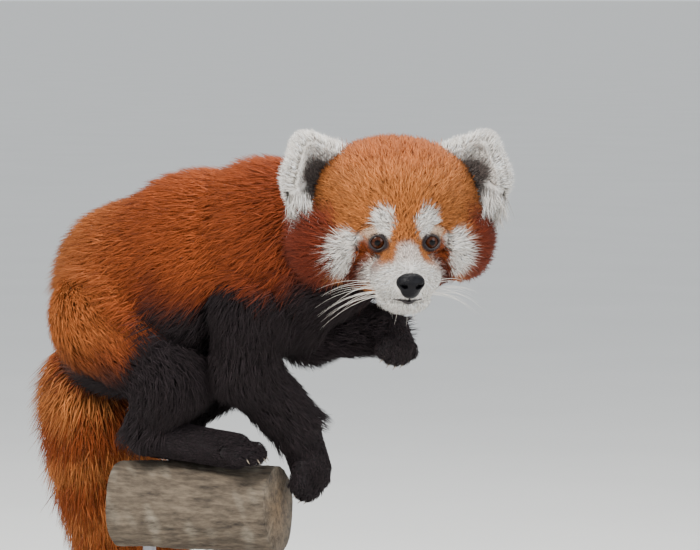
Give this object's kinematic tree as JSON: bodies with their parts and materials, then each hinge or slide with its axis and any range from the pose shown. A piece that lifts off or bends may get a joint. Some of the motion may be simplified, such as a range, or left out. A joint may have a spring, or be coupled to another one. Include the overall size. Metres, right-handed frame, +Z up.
{
  "type": "red panda museum model",
  "caption": "Red panda as a still, life-size museum model: it stands on a cut branch with one forepaw raised, held by a plain display stand.",
  "frame": {"origin": "centre of the display base's underside", "axes": "+Z up, +X the way the trunk points, +Y the animal's left"},
  "size_m": [0.4149, 0.25, 0.5554],
  "materials": {
    "russet_coat": "long soft coat, russet orange-brown",
    "black_coat": "short soft coat, brown-black",
    "white_coat": "short soft coat, white to cream",
    "nose_skin": "moist bare skin, blue-black",
    "eye": "clear wet cornea over a brown iris",
    "bark": "weathered bark",
    "base_wood": "satin dark stain",
    "rod_steel": "brushed"
  },
  "bodies": {
    "root": {"torso": "russet_coat", "neck": "russet_coat", "head": "russet_coat", "ear_left": "white_coat", "ear_right": "white_coat", "eye_left": "eye", "eye_right": "eye", "nose": "nose_skin", "foreleg_right": "black_coat", "forepaw_right": "black_coat", "foreleg_left": "black_coat", "forepaw_left": "black_coat", "hindleg_right": "black_coat", "hindpaw_right": "black_coat", "hindleg_left": "black_coat", "hindpaw_left": "black_coat", "tail_1": "russet_coat", "tail_2": "russet_coat", "tail_3": "russet_coat", "perch_branch": "bark", "stand_base": "base_wood", "stand_rod_1": "rod_steel", "stand_rod_2": "rod_steel"}
  },
  "joints": []
}
